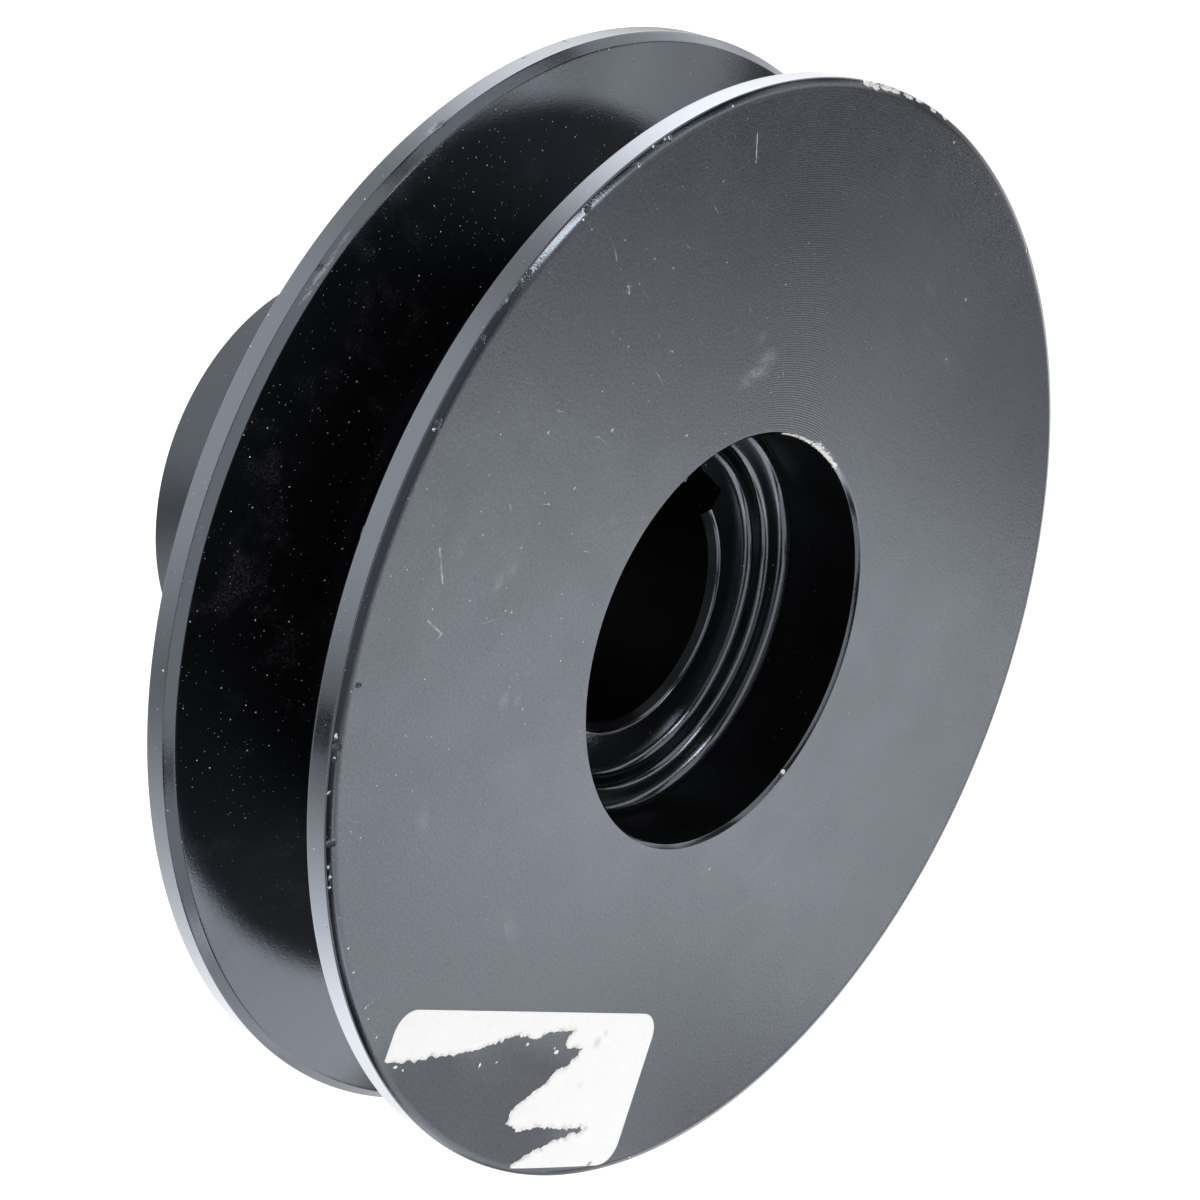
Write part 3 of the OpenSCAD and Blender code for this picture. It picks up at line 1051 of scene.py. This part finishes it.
# Studio
CAMERA_PLACE = (-298.915, -74.484, 258.641)
CAMERA_TURN = (-27.42, -49.5439, 48.1417)
CAMERA_LENS = 110.47
ROOM_RADIANCE = 0.02
HORIZON_RADIANCE = 1.52
HORIZON_FADE = 9.24
ZENITH_RADIANCE = 0.3
ZENITH_RISE = (58, 78)
FLOOR_RADIANCE = 1.3
# The light table and its sectors: (azimuth, width, radiance, how much more per step outwards)
TABLE_R = 220
TABLE_RADIANCE = 1.74
LEAST_RADIANCE = 0.05
TABLE_SECTORS = [
    (105.6, 22.6, 4.63, 0.06),
    (97.5, 22.7, -3, -0.36),
    (280.7, 15.7, 1.6, 0.39),
    (146.3, 12.1, -1.22, 0.12),
    (228.7, 11.4, -1.02, 0.16),
]
# Steps outwards are counted from a middle radius, and no further than this range
STEP_OUTWARDS = 20
STEP_MIDDLE = 105
STEP_RANGE = (75, 130)
# What the hub mirrors: the floor close to it, dimmer in one sector (azimuth, width, how much)
HUB_RADIANCE = 0.85
HUB_DIM_SECTOR = (217, 9, 0.44)
HUB_FLOOR_EDGE = (60, 74)
# A black card on the floor, which the rim mirrors: (azimuth, distance, radius)
BLACK_FLAG = (228.4, 126, 9.5)
# Lights: (name, azimuth, elevation, distance, width, height, radiance)
SOFTBOXES = [
    ("side_softbox", 10.8, 36.8, 250, 92, 135, 2.08),
    ("top_softbox", 332.5, 36, 250, 148, 170, 1.5),
    ("upper_softbox", 332.5, 65, 250, 148, 90, 0.5),
    ("corner_softbox", 33, 21, 500, 90, 70, 1),
    ("rim_softbox", 56, 40, 500, 75, 340, 0.92),
    ("bevel_softbox", 69, 53, 500, 120, 150, 0.9),
    ("bevel_spot", 88, 61, 500, 170, 55, 6),
    ("bevel_side", 64.5, 38, 500, 75, 160, 0.8),
    ("break_lower", 306, 14, 500, 364, 200, 1),
    ("break_upper", 75, 8, 500, 315, 210, 0.8),
    ("bevel_lower", 316, 56, 500, 80, 180, 0.9),
    ("break_softbox", 194, 50, 700, 1500, 360, 1),
    ("left_key", 278, 34, 600, 330, 330, 0.9),
    ("right_key", 110, 34, 600, 330, 330, 0.9),
]
# A light that isn't mirrored
FILL = ("fill", 194, 50, 700, 500, 500, 4)


def softbox(name, azimuth, elevation, distance, width, height, radiance):
    """A light that faces the middle of the front face, at that direction and distance from it."""
    light = bpy.data.lights.new(name, "AREA")
    light.shape = "RECTANGLE"
    light.size = width * MM
    light.size_y = height * MM
    light.energy = radiance * math.pi * light.size * light.size_y
    obj = add_object(name, light)
    a, e = math.radians(azimuth), math.radians(elevation)
    away = Vector((math.cos(e) * math.cos(a), math.cos(e) * math.sin(a), math.sin(e)))
    obj.location = Vector((0, 0, FRONT_Z)) * MM + away * distance * MM
    obj.rotation_mode = "QUATERNION"
    obj.rotation_quaternion = away.to_track_quat("Z", "Y")
    return obj


def give_glow(obj, name):
    """Gives the object a material that only glows; returns its node tree and strength."""
    material = bpy.data.materials.new(name)
    material.use_nodes = True
    tree = material.node_tree
    tree.nodes.clear()
    emission = add_node(tree, "ShaderNodeEmission")
    add_node(tree, "ShaderNodeOutputMaterial", {"Surface": emission.outputs[0]})
    obj.data.materials.append(material)
    return tree, emission.inputs["Strength"]


def staged_card(name, radius, height):
    """A flat disc over the floor that the camera doesn't see."""
    work = bmesh.new()
    bmesh.ops.create_circle(work, cap_ends=True, radius=radius * MM, segments=96)
    card = add_object(name, finished(name, work))
    card.location.z = height * MM
    card.visible_camera = False
    card.visible_shadow = False
    return card


def build_floor():
    """A plain white floor that glows evenly."""
    work = bmesh.new()
    bmesh.ops.create_grid(work, x_segments=8, y_segments=8, size=3)
    floor = add_object("floor", finished("floor", work))
    give_glow(floor, "white_floor")[1].default_value = FLOOR_RADIANCE


def bell(tree, value, middle, width):
    """A smooth bump of height 1 round the middle value."""
    away = calc(tree, "DIVIDE", calc(tree, "SUBTRACT", value, middle), width)
    return calc(tree, "EXPONENT", times(tree, times(tree, away, away), -0.5))


def build_light_table():
    """The glow under the pulley: bright and dim sectors round the axis, which the rim mirrors."""
    card = staged_card("light_table", TABLE_R, 0.1)
    tree, strength = give_glow(card, "light_table")
    place = place_in_mm(tree)
    x, y, _ = split_xyz(tree, place)
    turn = times(tree, calc(tree, "ARCTAN2", y, x), 180 / math.pi)
    turn = calc(tree, "FLOORED_MODULO", turn, 360)
    radius = vector_calc(tree, "LENGTH", place)
    inner, outer = STEP_RANGE
    steps = calc(tree, "MINIMUM", calc(tree, "MAXIMUM", radius, inner), outer)
    steps = calc(tree, "DIVIDE", calc(tree, "SUBTRACT", steps, STEP_MIDDLE), STEP_OUTWARDS)
    total = TABLE_RADIANCE
    for azimuth, width, radiance, slope in TABLE_SECTORS:
        growth = calc(tree, "MULTIPLY_ADD", steps, slope, 1)
        glow = times(tree, bell(tree, turn, azimuth, width), growth)
        total = calc(tree, "MULTIPLY_ADD", glow, radiance, total)
    azimuth, width, dip = HUB_DIM_SECTOR
    near_hub = calc(tree, "MULTIPLY_ADD", bell(tree, turn, azimuth, width), -dip, HUB_RADIANCE)
    outside = remap(tree, radius, *HUB_FLOOR_EDGE)
    total = calc(tree, "MULTIPLY_ADD", calc(tree, "SUBTRACT", total, near_hub), outside, near_hub)
    tree.links.new(calc(tree, "MAXIMUM", total, LEAST_RADIANCE), strength)


def build_flag(azimuth, distance, radius):
    """A small black card over the floor, seen only in reflections."""
    flag = staged_card("black_flag", radius, 0.5)
    a = math.radians(azimuth)
    flag.location.xy = (distance * MM * math.cos(a), distance * MM * math.sin(a))
    flag.visible_diffuse = False
    give_glow(flag, "black_flag")[1].default_value = 0


def build_world():
    """Light that fades from the horizon up, with a weak glow overhead."""
    world = bpy.data.worlds.new("studio")
    bpy.context.scene.world = world
    world.use_nodes = True
    tree = world.node_tree
    way = add_node(tree, "ShaderNodeTexCoord").outputs["Generated"]
    rise = calc(tree, "ARCSINE", split_xyz(tree, way)[2])
    rise = calc(tree, "MAXIMUM", times(tree, rise, 180 / math.pi), 0)
    fade = calc(tree, "EXPONENT", times(tree, rise, -1 / HORIZON_FADE))
    level = calc(tree, "MULTIPLY_ADD", fade, HORIZON_RADIANCE, ROOM_RADIANCE)
    level = calc(tree, "ADD", level, remap(tree, rise, *ZENITH_RISE, 0, ZENITH_RADIANCE))
    background = tree.nodes["Background"]
    background.inputs["Color"].default_value = (1, 1, 1, 1)
    tree.links.new(level, background.inputs["Strength"])


def build_camera():
    data = bpy.data.cameras.new("camera")
    data.lens = CAMERA_LENS
    data.sensor_width = 36
    data.clip_start = 0.01
    camera = add_object("camera", data)
    camera.location = Vector(CAMERA_PLACE) * MM
    camera.rotation_euler = [math.radians(a) for a in CAMERA_TURN]
    bpy.context.scene.camera = camera


pulley = build_pulley()
for coating in COATINGS:
    pulley.data.materials.append(coating_material(*coating))
assign_coatings(pulley.data)
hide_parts("pulley")
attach(pulley, "root")

label = build_label()
label.data.materials.append(paper_material())
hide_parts("paper_label")
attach(label, "root")

build_floor()
build_light_table()
build_flag(*BLACK_FLAG)
build_world()
build_camera()
for box in SOFTBOXES:
    softbox(*box)
softbox(*FILL).visible_glossy = False
bpy.context.scene.view_settings.view_transform = "Standard"
